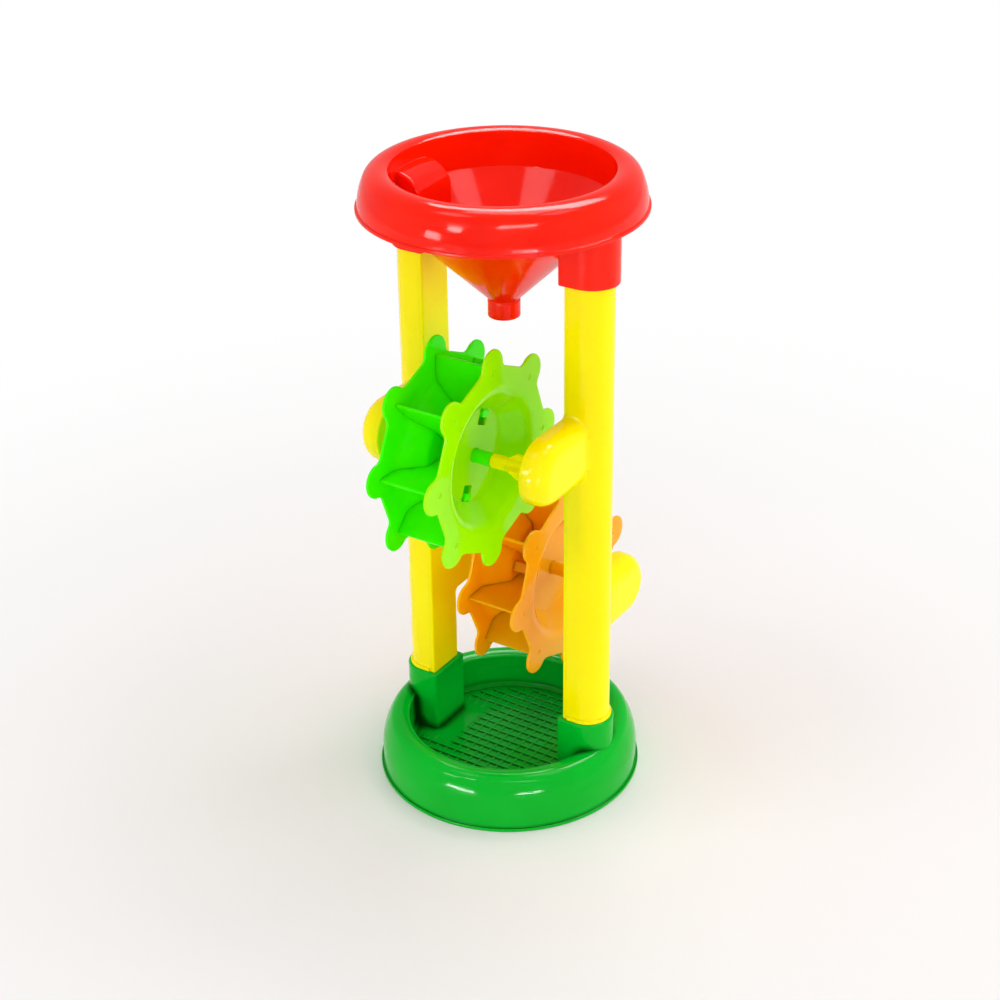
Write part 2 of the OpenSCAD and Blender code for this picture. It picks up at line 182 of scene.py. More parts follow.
def plain(red, green, blue):
    """A colour of 0 to 255 steps, as a linear colour."""
    linear = []
    for value in (red / 255, green / 255, blue / 255):
        linear.append(value / 12.92 if value <= 0.04045 else ((value + 0.055) / 1.055) ** 2.4)
    return tuple(linear) + (1,)


def toy_plastic(name, colour, drift, edge, glow=0.2, depth=2.0, soft_edge=0.4, gloss=0.2, painted_shade_colour=None):
    """Glossy moulded plastic with pigment drift, handling scuffs and a fine mould grain.

    The edge colour shows on edges rounded by soft_edge millimetres, or nowhere if that is 0; it is partly wear
    and partly painted highlight.
    Light enters by the share glow and as deep as depth millimetres. The shade colour, if given, paints shade
    into the narrow corners.
    """
    material = bpy.data.materials.new(name)
    material.use_nodes = True
    nodes = material.node_tree.nodes
    link = material.node_tree.links.new
    shader = nodes["Principled BSDF"]
    place = nodes.new("ShaderNodeTexCoord")

    # pigment that drifted while the plastic flowed
    flow = nodes.new("ShaderNodeTexNoise")
    flow.inputs["Scale"].default_value = 26
    flow.inputs["Detail"].default_value = 3
    link(place.outputs["Object"], flow.inputs["Vector"])
    flow_range = nodes.new("ShaderNodeMapRange")
    flow_range.inputs["From Min"].default_value = 0.35
    flow_range.inputs["From Max"].default_value = 0.7
    link(flow.outputs["Fac"], flow_range.inputs["Value"])
    tint = nodes.new("ShaderNodeMix")
    tint.data_type = "RGBA"
    tint.inputs["A"].default_value = plain(*colour)
    tint.inputs["B"].default_value = plain(*drift)
    link(flow_range.outputs["Result"], tint.inputs["Factor"])

    colour_so_far = tint.outputs["Result"]
    smooth_normal = None
    if soft_edge:
        # sharp edges look paler: partly rubbed wear, partly painted highlight and painted glow of light coming
        # through
        shape = nodes.new("ShaderNodeNewGeometry")
        rounding = nodes.new("ShaderNodeBevel")
        rounding.samples = 6
        rounding.inputs["Radius"].default_value = soft_edge * MM
        smooth_normal = rounding.outputs["Normal"]
        bend = nodes.new("ShaderNodeVectorMath")
        bend.operation = "DOT_PRODUCT"
        link(smooth_normal, bend.inputs[0])
        link(shape.outputs["Normal"], bend.inputs[1])
        worn_and_lit_edge_range = nodes.new("ShaderNodeMapRange")
        worn_and_lit_edge_range.inputs["From Min"].default_value = 0.98
        worn_and_lit_edge_range.inputs["From Max"].default_value = 0.8
        worn_and_lit_edge_range.inputs["To Max"].default_value = 0.6
        link(bend.outputs["Value"], worn_and_lit_edge_range.inputs["Value"])
        worn_and_lit_edge = nodes.new("ShaderNodeMix")
        worn_and_lit_edge.data_type = "RGBA"
        worn_and_lit_edge.inputs["B"].default_value = plain(*edge)
        link(worn_and_lit_edge_range.outputs["Result"], worn_and_lit_edge.inputs["Factor"])
        link(colour_so_far, worn_and_lit_edge.inputs["A"])
        colour_so_far = worn_and_lit_edge.outputs["Result"]
    if painted_shade_colour:
        # painted shade: the narrow corners and recesses darken towards the shade colour, by ambient occlusion
        hollow = nodes.new("ShaderNodeAmbientOcclusion")
        hollow.samples = 8
        hollow.only_local = True
        hollow.inputs["Distance"].default_value = 6.5 * MM
        hollow_range = nodes.new("ShaderNodeMapRange")
        hollow_range.inputs["From Min"].default_value = 0.55
        hollow_range.inputs["From Max"].default_value = 0.88
        link(hollow.outputs["AO"], hollow_range.inputs["Value"])
        painted_shade = nodes.new("ShaderNodeMix")
        painted_shade.data_type = "RGBA"
        painted_shade.inputs["A"].default_value = plain(*painted_shade_colour)
        link(hollow_range.outputs["Result"], painted_shade.inputs["Factor"])
        link(colour_so_far, painted_shade.inputs["B"])
        colour_so_far = painted_shade.outputs["Result"]
    link(colour_so_far, shader.inputs["Base Color"])

    # scuffs from handling, drawn out along one direction
    polish, scuffed = 0.08, 0.2
    stretch = nodes.new("ShaderNodeMapping")
    stretch.inputs["Scale"].default_value = (1, 1, 7)
    stretch.inputs["Rotation"].default_value = (0.4, 0.7, 0.2)
    link(place.outputs["Object"], stretch.inputs["Vector"])
    scuff = nodes.new("ShaderNodeTexNoise")
    scuff.inputs["Scale"].default_value = 95
    scuff.inputs["Detail"].default_value = 6
    link(stretch.outputs["Vector"], scuff.inputs["Vector"])
    skin = nodes.new("ShaderNodeMapRange")
    skin.inputs["From Min"].default_value = 0.45
    skin.inputs["From Max"].default_value = 0.75
    skin.inputs["To Min"].default_value = polish
    skin.inputs["To Max"].default_value = scuffed
    link(scuff.outputs["Fac"], skin.inputs["Value"])
    link(skin.outputs["Result"], shader.inputs["Roughness"])

    # faint grain of the mould, over the softly rounded edges
    grain = nodes.new("ShaderNodeTexNoise")
    grain.inputs["Scale"].default_value = 420
    grain.inputs["Detail"].default_value = 2
    link(place.outputs["Object"], grain.inputs["Vector"])
    bump = nodes.new("ShaderNodeBump")
    bump.inputs["Strength"].default_value = 0.08
    bump.inputs["Distance"].default_value = 0.0001
    link(grain.outputs["Fac"], bump.inputs["Height"])
    if smooth_normal:
        link(smooth_normal, bump.inputs["Normal"])
    link(bump.outputs["Normal"], shader.inputs["Normal"])

    shader.inputs["IOR"].default_value = 1.49
    shader.inputs["Specular IOR Level"].default_value = gloss
    shader.inputs["Subsurface Weight"].default_value = glow
    shader.inputs["Subsurface Radius"].default_value = (1.0, 0.7, 0.3)
    shader.inputs["Subsurface Scale"].default_value = depth * MM
    return material


leg_face_x = 37.35
leg_round_x = 45.15
leg_half = 10.55


def leg_plan(extra, start=None, corner=0.0):
    """Plan of the right leg, grown by extra: flat inside, round outside."""
    low = leg_face_x - extra if start is None else start
    half = leg_half + extra
    inner = softened([(low, half, corner), (low, -half, corner), (leg_round_x, -half), (leg_round_x, half)], 4)
    inner = [point for point in inner if point[0] < leg_round_x - 0.01]
    return inner + arc((leg_round_x, 0), half, -90, 90, 28)


def upright(levels):
    """Solid through (height, plan) levels."""
    return lofted([[(x, y, height) for x, y in plan] for height, plan in levels])


def other_side(shell):
    """The same shell on the left side."""
    bmesh.ops.scale(shell, vec=(-1, 1, 1), verts=shell.verts)
    bmesh.ops.reverse_faces(shell, faces=shell.faces)
    return shell


def ring_lines(wall_r, crest_r, rounding, height, inner_r, start_z, inset):
    """Crest and outer wall of a rolled ring, from its inner edge over the crest down to the wall."""
    drop = height - start_z
    lean = wall_r - crest_r
    big_r = (lean * lean + drop * drop - 2 * drop * rounding) / (2 * (lean - rounding))
    crest_z = height - rounding
    big_x = wall_r - big_r
    meet = math.degrees(math.atan2(crest_z - start_z, crest_r - big_x))
    inner_turn = 180 - math.degrees(math.acos((crest_r - inner_r - inset) / (rounding - inset)))
    crest = arc((crest_r, crest_z), rounding - inset, inner_turn, meet, 20)
    return crest + arc((big_x, start_z), big_r - inset, meet, 0, 12)[1:]


tray_height, tray_floor, floor_under = 27.6, 9, 7
tray_wall_r, tray_crest_r, tray_inner_r = 63.4, 54.2, 49.8
tray_rounding, tray_bend_z = 6, 10
tray_lip_r, tray_lip_z = 64.6, 1.6
tray_line_z = 19.6
ring_wall = 2
tray_outer, tray_inner = [
    ring_lines(tray_wall_r, tray_crest_r, tray_rounding, tray_height, tray_inner_r, tray_bend_z, inset)
    for inset in (0, ring_wall)]
edge_z = tray_outer[0][1]
tray_section = softened(
    [(0, tray_floor), (46.4, tray_floor), (47.5, tray_floor, 0.6), (49.1, tray_floor + 1.6, 0.6),
     (tray_inner_r, tray_line_z, 3.0), (tray_inner_r, edge_z - 0.9),
     (49.55, edge_z - 0.45, 0.2), (49.6, edge_z + 0.3, 0.3), (50.15, edge_z + 0.85, 0.3)]
    + tray_outer[2:]
    + [(tray_wall_r, tray_lip_z + 0.1, 0.3), (tray_lip_r, tray_lip_z, 0.5), (tray_lip_r, 0, 0.5),
       (tray_wall_r - ring_wall, 0, 0.3), (tray_wall_r - ring_wall, 9)]
    + list(reversed(tray_inner))[1:]
    + [(tray_inner_r + ring_wall, tray_line_z), (tray_inner_r + ring_wall, tray_floor, 0.5),
       (49.5, floor_under, 0.8), (0, floor_under)], 4)
tray = as_piece("base_tray_moulding", [turned(tray_section)])

# sockets: their walls stand on the floor and go up through the ring
socket_top, socket_foot = 41.4, 7.2
socket_fit, socket_grow = 0.15, 2.15
socket_corner, socket_edge, room_corner = 1.4, 0.9, 0.4
socket_levels = [(socket_foot, leg_plan(socket_grow, corner=socket_corner))]
for step in range(7):
    turn = math.radians(15 * step)
    height = socket_top - socket_edge + socket_edge * math.sin(turn)
    pull = socket_edge * (1 - math.cos(turn))
    socket_levels.append((height, leg_plan(socket_grow - pull, corner=socket_corner)))
room_levels = [(height, leg_plan(socket_fit, corner=room_corner)) for height in (tray_floor, 60)]
moulded_with(tray, [upright(socket_levels), other_side(upright(socket_levels))], "UNION")
moulded_with(tray, [upright(room_levels), other_side(upright(room_levels))], "DIFFERENCE")


def ridge(start, end, across, along_x):
    """Low floor ridge with sloping sides, from start to end along X or Y."""
    foot, top, base = 0.85, 0.45, -0.3
    rise = 0.85 if along_x else 0.4
    shape = ((foot, base, 0), (foot, 0, 0), (top + 0.1, rise - 0.06, 0.3), (top, rise, 0.4))
    levels = []
    for half, height, trim in shape:
        low, high = start + trim, end - trim
        loop = [(low, across - half), (high, across - half), (high, across + half), (low, across + half)]
        if not along_x:
            loop = [(y, x) for x, y in loop]
        levels.append([(x, y, tray_floor + height) for x, y in loop])
    return lofted(levels)


# grid of ridges on the floor; a patch in front of the left socket is smooth
grid_pitch = 5
grid_reach = 44.5
shortest_span = 36
socket_line = 33.6
socket_half = 14
patch_start = -22.5
patch_half = 17.5
ridges = []
for index in range(-9, 9):
    across = (index + 0.5) * grid_pitch
    span = grid_reach ** 2 - across ** 2
    if span < shortest_span:
        continue
    reach = math.sqrt(span)
    # ridges along X
    left, right = -reach, reach
    if abs(across) <= patch_half + 0.1:
        left = patch_start - 1
    if abs(across) < socket_half:
        right = min(right, socket_line)
    ridges.append(ridge(left, right, across, True))
    # ridges along Y
    if abs(across) > socket_line + 0.5:
        gap = socket_half + 0.2 if across > 0 else patch_half + 1
    elif across < patch_start - 0.1:
        gap = patch_half - 1
    else:
        gap = 0
    if gap and reach > gap + 3:
        ridges.append(ridge(-reach, -gap, across, False))
        ridges.append(ridge(gap, reach, across, False))
    elif not gap:
        ridges.append(ridge(-reach, reach, across, False))
add_shells(tray, ridges)
polished(tray)
tray.data.materials.clear()
# the tray's last colour is painted shade in its corners and between its ridges
tray.data.materials.append(
    toy_plastic("green_moulding", (0, 182, 42), (0, 174, 38), (40, 215, 80), glow=0.15, gloss=0.14,
                painted_shade_colour=(0, 74, 4)))
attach(tray, "stand")
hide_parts("base_tray")

# Leg shells: the rounded outer halves of the two hollow yellow legs. Each carries two pods, one
# towards the front for the upper axle and one towards the back for the lower axle, and a low
# collar that rests on the rim of the tray socket.

lower_axle = 93.6
upper_axle = 184.98928
pod_rise = 1.8
leg_low, leg_high = 9, 291.98
pod_radius, pod_reach, pod_rounding, pod_top = 15.7, 49.1, 8, 49.65
pod_fillet = 2.6


def leg_outline(half, inset, reach=None):
    """Side outline of a leg with its two pods (y, z), moved inwards by inset at the pods."""
    pod = pod_radius - inset
    end = pod_reach - inset if reach is None else reach
    low, high = leg_low, leg_high
    depth = end - half
    root = min(pod_fillet, 0.45 * depth)
    tip = min(pod * 0.999, 0.5 * depth) if reach is not None else pod * 0.999
    lower, upper = lower_axle + pod_rise, upper_axle + pod_rise
    rim = min(0.3, 0.4 * half)
    least = 0.02
    corners = [(-half, low, rim), (half, low, rim), (half, lower - pod, root), (end, lower - pod, tip),
               (end, lower + pod, tip), (half, lower + pod, root), (half, high, rim), (-half, high, rim),
               (-half, upper + pod, root), (-end, upper + pod, tip),
               (-end, upper - pod, tip), (-half, upper - pod, root)]
    return softened([(y, z, max(radius, least)) for y, z, radius in corners], 10)


def leg_half_width(x):
    """Half of the leg's width at x, never quite nothing."""
    return math.sqrt(max(leg_half ** 2 - max(x - leg_round_x, 0) ** 2, 0.04))


# levels of a leg shell: how far out, half width, inset of the pods and their reach
shell_start = 39.15
seam_chamfer = 0.05
blend_radius = 6
blend_x = pod_top + blend_radius
blend_y = math.sqrt((leg_half + blend_radius) ** 2 - (blend_x - leg_round_x) ** 2)
blend_turn = math.degrees(math.atan2(blend_y, -(blend_x - leg_round_x)))
shell_levels = [(shell_start, leg_half - seam_chamfer, seam_chamfer, None),
                (shell_start + seam_chamfer, leg_half, 0, None)]
for step in range(15):
    turn = math.radians(90 * step / 14)
    x = pod_top - pod_rounding + pod_rounding * math.sin(turn)
    shell_levels.append((x, leg_half_width(x), pod_rounding * (1 - math.cos(turn)), None))
for x, y in arc((blend_x, blend_y), blend_radius, 180, 180 + (180 - blend_turn), 6)[:-1]:
    shell_levels.append((x, leg_half_width(x), pod_rounding, y))
last_turn = math.degrees(math.asin((shell_levels[-1][0] - leg_round_x) / leg_half))
for step in range(1, 13):
    turn = math.radians(last_turn + (90 - last_turn) * step / 12)
    x = leg_round_x + leg_half * math.sin(turn)
    shell_levels.append((x, leg_half_width(x), pod_rounding, leg_half_width(x) + 0.02))


def leg_shell():
    """Outer half of the right leg."""
    return lofted([[(x, y, z) for y, z in leg_outline(half, inset, reach)]
                   for x, half, inset, reach in shell_levels])


def leg_collar():
    """Collar of the right leg, which stands on the rim of the tray socket."""
    high, start, grow, edge, chamfer = 43.2, 40.35, 1, 0.4, 0.2
    levels = [(socket_top, leg_plan(grow - chamfer, start=start)),
              (socket_top + chamfer, leg_plan(grow, start=start))]
    for step in range(5):
        turn = math.radians(22.5 * step)
        height = high - edge + edge * math.sin(turn)
        levels.append((height, leg_plan(grow - edge * (1 - math.cos(turn)), start=start)))
    return upright(levels)


yellow = toy_plastic("yellow_moulding", (255, 238, 0), (255, 232, 0), (255, 242, 50), gloss=0.16)
right_shell = as_piece("right_leg_outer_half", [leg_shell(), leg_collar()])
left_shell = as_piece("left_leg_outer_half", [other_side(leg_shell()), other_side(leg_collar())])
for shell, node in ((right_shell, "right_leg_shell"), (left_shell, "left_leg_shell")):
    polished(shell)
    shell.data.materials.append(yellow)
    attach(shell, "stand")
    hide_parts(node)

# Leg backs: the flat inner halves of the legs, snapped to the shells. Each carries two stubs with
# four stiffening ribs, and on the end of each stub the thin pin that a wheel turns on.

back_edge = 0.9
back_levels = []
for step in range(7):
    turn = math.radians(15 * step)
    pull = back_edge * (1 - math.sin(turn))
    back_levels.append((leg_face_x + back_edge * (1 - math.cos(turn)), leg_half - pull, pull))
back_levels += [(shell_start - seam_chamfer, leg_half, 0), (shell_start, leg_half - seam_chamfer, seam_chamfer)]


def leg_back():
    """Plate of the right leg's inner half."""
    return lofted([[(x, y, z) for y, z in leg_outline(half, inset)] for x, half, inset in back_levels])


def on_line(shell, y, z):
    """Lays a shell that was turned round Z along X, at an axle."""
    shell.transform(Matrix.Translation((0, y * MM, z * MM)) @ Matrix.Rotation(math.radians(90), 4, "Y"))
    return shell


axle_offset = 33.4
shoulder, stub_foot = 14.7, 38
pin_radius, pin_length, stub_radius, stub_root = 1.7, 6, 3.3, 3.9
rib_inner, rib_outer = 2.6, 6.3
rib_slants = ((0, 4.6), (90, 4.6), (180, 4.6), (270, 0.6))


def stub(y, z):
    """A stub with its pin and ribs, as closed shells."""
    pin_end = shoulder - pin_length
    section = softened([(0, pin_end), (pin_radius, pin_end, 0.4), (pin_radius, shoulder, 0.15),
                        (stub_radius, shoulder, 0.35), (stub_radius, 36.6, 0.5),
                        (stub_root, 37.4), (stub_root, stub_foot), (0, stub_foot)], 4)
    shells = [on_line(turned(section, 48), y, z)]
    for turn, slant in rib_slants:
        start = shoulder + 7.9
        side = softened([(start, rib_inner), (start, stub_radius), (start + slant, rib_outer, 0.3),
                         (37.0, rib_outer, 0.01), (stub_foot, rib_outer), (stub_foot, rib_inner)], 4)
        loops = []
        for half, pull in ((0.8, 0.15), (0.68, 0), (-0.68, 0), (-0.8, 0.15)):
            loops.append([(along, half, out - (pull if out > 3 else 0)) for along, out in side])
        rib = lofted(loops)
        rib.transform(Matrix.Translation((0, y * MM, z * MM)) @ Matrix.Rotation(math.radians(turn), 4, "X"))
        shells.append(rib)
    return shells


def inner_half():
    """Shells of the right leg's inner half: the plate and its two stubs."""
    return [leg_back()] + stub(-axle_offset, upper_axle) + stub(axle_offset, lower_axle)


# the inner halves take a brighter copy of the leg yellow, painted light against the shade on their inner faces
lit_copy_yellow = toy_plastic("yellow_moulding_lit_copy", (255, 242, 0), (255, 234, 0), (255, 244, 50), gloss=0.1)
right_back = as_piece("right_leg_inner_half", inner_half())
left_back = as_piece("left_leg_inner_half", [other_side(shell) for shell in inner_half()])
for back, node in ((right_back, "right_leg_back"), (left_back, "left_leg_back")):
    polished(back)
    back.data.materials.append(lit_copy_yellow)
    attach(back, "stand")
    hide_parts(node)

# Wheel halves: each wheel is two mouldings with the same eight-lobed disc and deep dish. The
# paddle half also carries the hub tube, eight vanes and two snap arms.

tip_radius, lobe_radius, valley = 53, 8, 43
fillet = 4
half_wheel = 15.85
wheel_wall = 1.5
floor_x = 6.05
flare_centre, flare_radius = 35.2, 8
corner_centre, corner_radius = 21.0, 2
dish_angle = math.degrees(math.atan2(9.8, 10.2))
hub_shift, hub_half, hub_bore, hub_radius = 1.05, 14.4, 1.75, 3.2
arm_turns = (-22.5, 157.5)


def lobed_outline():
    """Outline points of a disc, each with its outward direction."""
    circle = tip_radius - lobe_radius
    across = circle * math.sin(math.radians(22.5))
    along = circle * math.cos(math.radians(22.5))
    rise = valley + fillet - along
    fillet_x = across - math.sqrt((lobe_radius + fillet) ** 2 - rise ** 2)
    lean = math.degrees(math.atan2(along - valley - fillet, across - fillet_x))
    half = [((fillet_x * step / 3, valley), (0, 1)) for step in range(3)]
    for point in arc((fillet_x, valley + fillet), fillet, -90, lean, 6)[:-1]:
        half.append((point, ((fillet_x - point[0]) / fillet, (valley + fillet - point[1]) / fillet)))
    for point in arc((across, along), lobe_radius, 180 + lean, 67.5, 12):
        half.append((point, ((point[0] - across) / lobe_radius, (point[1] - along) / lobe_radius)))
    outline = []
    for lobe in range(8):
        for side, items in ((-1, half), (1, list(reversed(half))[1:-1] + [half[0]])):
            valley_turn = math.radians(45 * lobe + 22.5 * side)
            ahead = Vector((math.cos(valley_turn), math.sin(valley_turn)))
            aside = Vector((-ahead.y, ahead.x)) * -side
            for point, way in items:
                outline.append((ahead * point[1] + aside * point[0], ahead * way[1] + aside * way[0]))
        outline.pop()
    return outline


rim_outline = lobed_outline()


def dish_line(inset):
    """Section of the dish from the disc down to the floor (radius, height), moved inwards."""
    flare = arc((flare_centre, half_wheel - flare_radius), flare_radius - inset, 90, 90 + dish_angle, 12)
    corner = arc((corner_centre, floor_x + corner_radius), corner_radius + inset, 270 + dish_angle, 270, 6)
    return flare + corner


def disc(hole):
    """One disc with its dish, standing at +Z, as a closed shell."""
    edge = 0.5
    outside = list(reversed(dish_line(0)))
    inside = dish_line(wheel_wall)
    rings = [("round", hole, floor_x - wheel_wall + 0.1), ("round", hole, floor_x - 0.15),
             ("round", hole + 0.15, floor_x)]
    rings += [("round", radius, height) for radius, height in outside]
    top, low = half_wheel, half_wheel - wheel_wall
    turns = [math.radians(22.5 * step) for step in range(5)]
    rings += [("rim", edge * (1 - math.sin(turn)), top - edge * (1 - math.cos(turn))) for turn in turns]
    rings += [("rim", edge * (1 - math.cos(turn)), low + edge * (1 - math.sin(turn))) for turn in turns]
    rings += [("round", radius, height) for radius, height in inside]
    rings += [("round", hole + 0.1, floor_x - wheel_wall)]
    shell = bmesh.new()
    rows = []
    for kind, size, height in rings:
        row = []
        for point, way in rim_outline:
            spot = point.normalized() * size if kind == "round" else point - way * size
            row.append(shell.verts.new((spot.x * MM, spot.y * MM, height * MM)))
        rows.append(row)
    count = len(rim_outline)
    for index, row in enumerate(rows):
        before = rows[index - 1]
        for step in range(count):
            after = (step + 1) % count
            shell.faces.new((before[step], before[after], row[after], row[step]))
    bmesh.ops.recalc_face_normals(shell, faces=shell.faces)
    return shell


def dent(turn):
    """Cutter for a small ejector dent near a lobe."""
    dent_circle = 42
    section = [(0, -0.5), (0.75, -0.5), (1.15, -0.12), (1.35, 0.1), (1.35, 1), (0, 1)]
    cutter = turned([(radius, half_wheel + height) for radius, height in section], 20)
    cutter.transform(Matrix.Rotation(math.radians(turn), 4, "Z") @ Matrix.Translation((dent_circle * MM, 0, 0)))
    return cutter


def slab(outline, half, edge):
    """Plate with rounded edges from an outline of (along, up) points, half thick to each side."""
    count = len(outline)
    ways = []
    for index in range(count):
        here = Vector(outline[index])
        before = (here - Vector(outline[index - 1])).normalized()
        after = (Vector(outline[(index + 1) % count]) - here).normalized()
        way = Vector((before.y + after.y, -before.x - after.x))
        ways.append(way / max(way.length_squared / 2, 0.6))
    loops = []
    for turn in [math.radians(30 * step) for step in range(4)]:
        pull = edge * (1 - math.sin(turn))
        loops.append([(spot[0] - way.x * pull, -half + edge * (1 - math.cos(turn)), spot[1] - way.y * pull)
                      for spot, way in zip(outline, ways)])
    loops += [[(x, -y, z) for x, y, z in loop] for loop in reversed(loops)]
    return lofted(loops)


def vane(turn):
    """One vane between the discs, rounded along its free edge."""
    under = [(radius, -height) for radius, height in reversed(dish_line(1.1))]
    over = dish_line(1.6)
    outline = [(2.6, under[0][1])] + under + softened(
        [(40, under[-1][1]), (44.5, under[-1][1], 0.6), (44.5, over[0][1], 0.6), (40, over[0][1])], 4)[1:-1]
    outline += over + [(2.6, over[-1][1])]
    plate = slab(outline, 0.7, 0.3)
    plate.transform(Matrix.Rotation(math.radians(turn), 4, "Z"))
    return plate


def snap_arm(turn):
    """Arm with a hook that holds the cover at its slot."""
    side = softened([(17.6, -5.0), (20.0, -5.0), (20.0, 6.25, 0.1), (21.5, 6.25, 0.15), (21.5, 6.55, 0.2),
                     (20.4, 7.25, 0.3), (17.6, 7.25, 0.4)], 3)
    arm = slab(side, 2.4, 0.3)
    arm.transform(Matrix.Rotation(math.radians(turn), 4, "Z"))
    return arm


def slot_cutter(turn):
    """Cutter for a slot of the cover."""
    plan = softened([(13.9, -3.4, 0.7), (21.3, -3.4, 0.7), (21.3, 3.4, 0.7), (13.9, 3.4, 0.7)], 4)
    cutter = lofted([[(x, y, height) for x, y in plan] for height in (0, 20)])
    cutter.transform(Matrix.Rotation(math.radians(turn), 4, "Z"))
    return cutter


def hub_tube():
    """Tube that the two pins enter, longer than the wheel's dishes are deep."""
    low, high = hub_shift - hub_half, hub_shift + hub_half
    section = softened([(hub_bore, low, 0.25), (hub_radius, low, 0.3), (hub_radius, high, 0.3),
                        (hub_bore, high, 0.25)], 4)
    return turned(section, 48)


def placed_on_axle(piece, y, z, turn):
    """Lays a wheel half that stands along Z on its axle along X."""
    piece.data.transform(Matrix.Translation((-hub_shift * MM, y * MM, z * MM))
                         @ Matrix.Rotation(math.radians(turn), 4, "X")
                         @ Matrix.Rotation(math.radians(90), 4, "Y")
                         @ Matrix.Rotation(math.radians(180), 4, "Z"))


def facing_back(shell):
    """The same shell at the paddle half's end of the wheel."""
    bmesh.ops.scale(shell, vec=(1, 1, -1), verts=shell.verts)
    bmesh.ops.reverse_faces(shell, faces=shell.faces)
    return shell


def wheel(body, y, z, turn, paddle_material, paddle_slot, cover_material, cover_slot):
    """Both halves of one wheel on its axle."""
    lobes = [45 * step for step in range(8)]
    paddles = as_piece(body + "_paddle_half", [facing_back(disc(2.8))])
    moulded_with(paddles, [merged([facing_back(dent(lobe)) for lobe in lobes])], "DIFFERENCE")
    arms = [snap_arm(place) for place in arm_turns]
    add_shells(paddles, [vane(lobe) for lobe in lobes] + [hub_tube()] + arms)
    cover = as_piece(body + "_cover_half", [disc(3.3)])
    slots = [slot_cutter(place) for place in arm_turns]
    moulded_with(cover, [merged([dent(lobe) for lobe in lobes] + slots)], "DIFFERENCE")
    for piece, node, finish, slot in ((paddles, "paddles", paddle_material, paddle_slot),
                                      (cover, "cover", cover_material, cover_slot)):
        placed_on_axle(piece, y, z, turn)
        polished(piece)
        piece.data.materials.clear()
        piece.data.materials.append(finish)
        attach(piece, body)
        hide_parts(body + "_" + node)


# The upper wheel is green with a yellow-green cover, towards the front.
wheel("upper_wheel", -axle_offset, upper_axle, -1.8,
      toy_plastic("green_paddle_moulding", (34, 250, 0), (76, 255, 0), None,
                  glow=0.7, depth=5, soft_edge=0, gloss=0.12),
      "lime_plastic",
      toy_plastic("yellow_green_cover_moulding", (154, 232, 0), (142, 226, 0), None,
                  glow=0.7, depth=5, soft_edge=0, gloss=0.15),
      "yellow_green_plastic")

# The lower wheel is orange with a light orange cover, towards the back.
wheel("lower_wheel", axle_offset, lower_axle, 92.2,
      toy_plastic("orange_paddle_moulding", (255, 168, 0), (255, 158, 0), None,
                  glow=0.95, depth=6, soft_edge=0, gloss=0.12),
      "orange_plastic",
      toy_plastic("light_orange_cover_moulding", (255, 172, 22), (255, 164, 16), None,
                  glow=0.7, depth=5, soft_edge=0, gloss=0.15),
      "light_orange_plastic")

# Hopper: one red moulding. A hollow rolled rim with a small lip under it, an upright bowl wall, a
# thin cone down to the spout, and two leg sockets whose rounded crowns stand up in the bowl.

stand_height, rim_height, bowl_depth = 309.98, 18.5, 18
rim_wall_r, rim_crest_r, bowl_r = 63.8, 53.7, 49.7
rim_rounding, rim_bend_z = 8, 0.5
rim_lip_r, rim_lip_z = 64.7, 1.6
spout_bore, spout_radius, spout_low, spout_high = 5.4, 7.4, 239.79, 247.79
rim_foot = stand_height - rim_height
bowl_corner = stand_height - bowl_depth
rim_outer, rim_inner = [
    [(radius, rim_foot + height) for radius, height in
     ring_lines(rim_wall_r, rim_crest_r, rim_rounding, rim_height, bowl_r, rim_bend_z, inset)]
    for inset in (0, ring_wall)]
rim_edge = rim_outer[0]
hopper_section = softened(
    [(spout_bore, spout_low, 0.5), (spout_radius, spout_low, 0.6), (spout_radius, spout_high, 0.5),
     (6.5, spout_high, 0.3), (bowl_r + ring_wall, bowl_corner - 0.6, 0.4), (bowl_r + ring_wall, bowl_corner + 2)]
    + rim_inner[1:]
    + [(rim_wall_r - ring_wall, rim_foot + 1, 0), (rim_wall_r - ring_wall, rim_foot, 0.3),
       (rim_lip_r, rim_foot, 0.4), (rim_lip_r, rim_foot + rim_lip_z, 0.4),
       (rim_wall_r, rim_foot + rim_lip_z + 0.1, 0.25)]
    + [point for point in reversed(rim_outer) if point[1] > rim_foot + 2.2][:-1]
    + [(rim_edge[0] + 0.02, rim_edge[1] - 0.02, 0.3), (bowl_r, bowl_corner + 0.4, 0.6),
       (spout_bore, spout_high + 0.6, 1.5)], 4)
hopper = as_piece("hopper_moulding", [turned(hopper_section)])


def crown(start, half_width, top, rounding, edge):
    """Leg socket from its open end up to its rounded crown, as a solid of slices along X.

    The room for the leg has no edge rounding and starts 1 mm lower, so it cuts through.
    """
    socket_depth = 44.3
    low = stand_height - socket_depth - (0 if edge else 1)
    places = [start + edge * (1 - math.cos(math.radians(22.5 * step))) for step in range(5)]
    places += [start + rounding * (1 - math.cos(math.radians(90 * step / 14))) for step in range(15)]
    places += [leg_round_x + half_width * math.sin(math.radians(90 * step / 26)) for step in range(27)]
    slices = []
    for x in sorted(places):
        if slices and x < slices[-1] + 0.05:
            continue
        slices.append(x)
    rows = []
    for x in slices:
        pull = edge - math.sqrt(max(edge ** 2 - max(start + edge - x, 0) ** 2, 0))
        half = math.sqrt(max(half_width ** 2 - max(x - leg_round_x, 0) ** 2, 0.0025)) - pull
        height = top - rounding + math.sqrt(max(rounding ** 2 - max(start + rounding - x, 0) ** 2, 0))
        round_top = min(max(edge, 0.02), half * 0.9)
        round_low = min(0.4 if edge else 0.02, half * 0.9)
        outline = softened([(-half, low + pull * 0.3, round_low), (half, low + pull * 0.3, round_low),
                            (half, height, round_top), (-half, height, round_top)], 6)
        rows.append([(x, y, z) for y, z in outline])
    return lofted(rows)


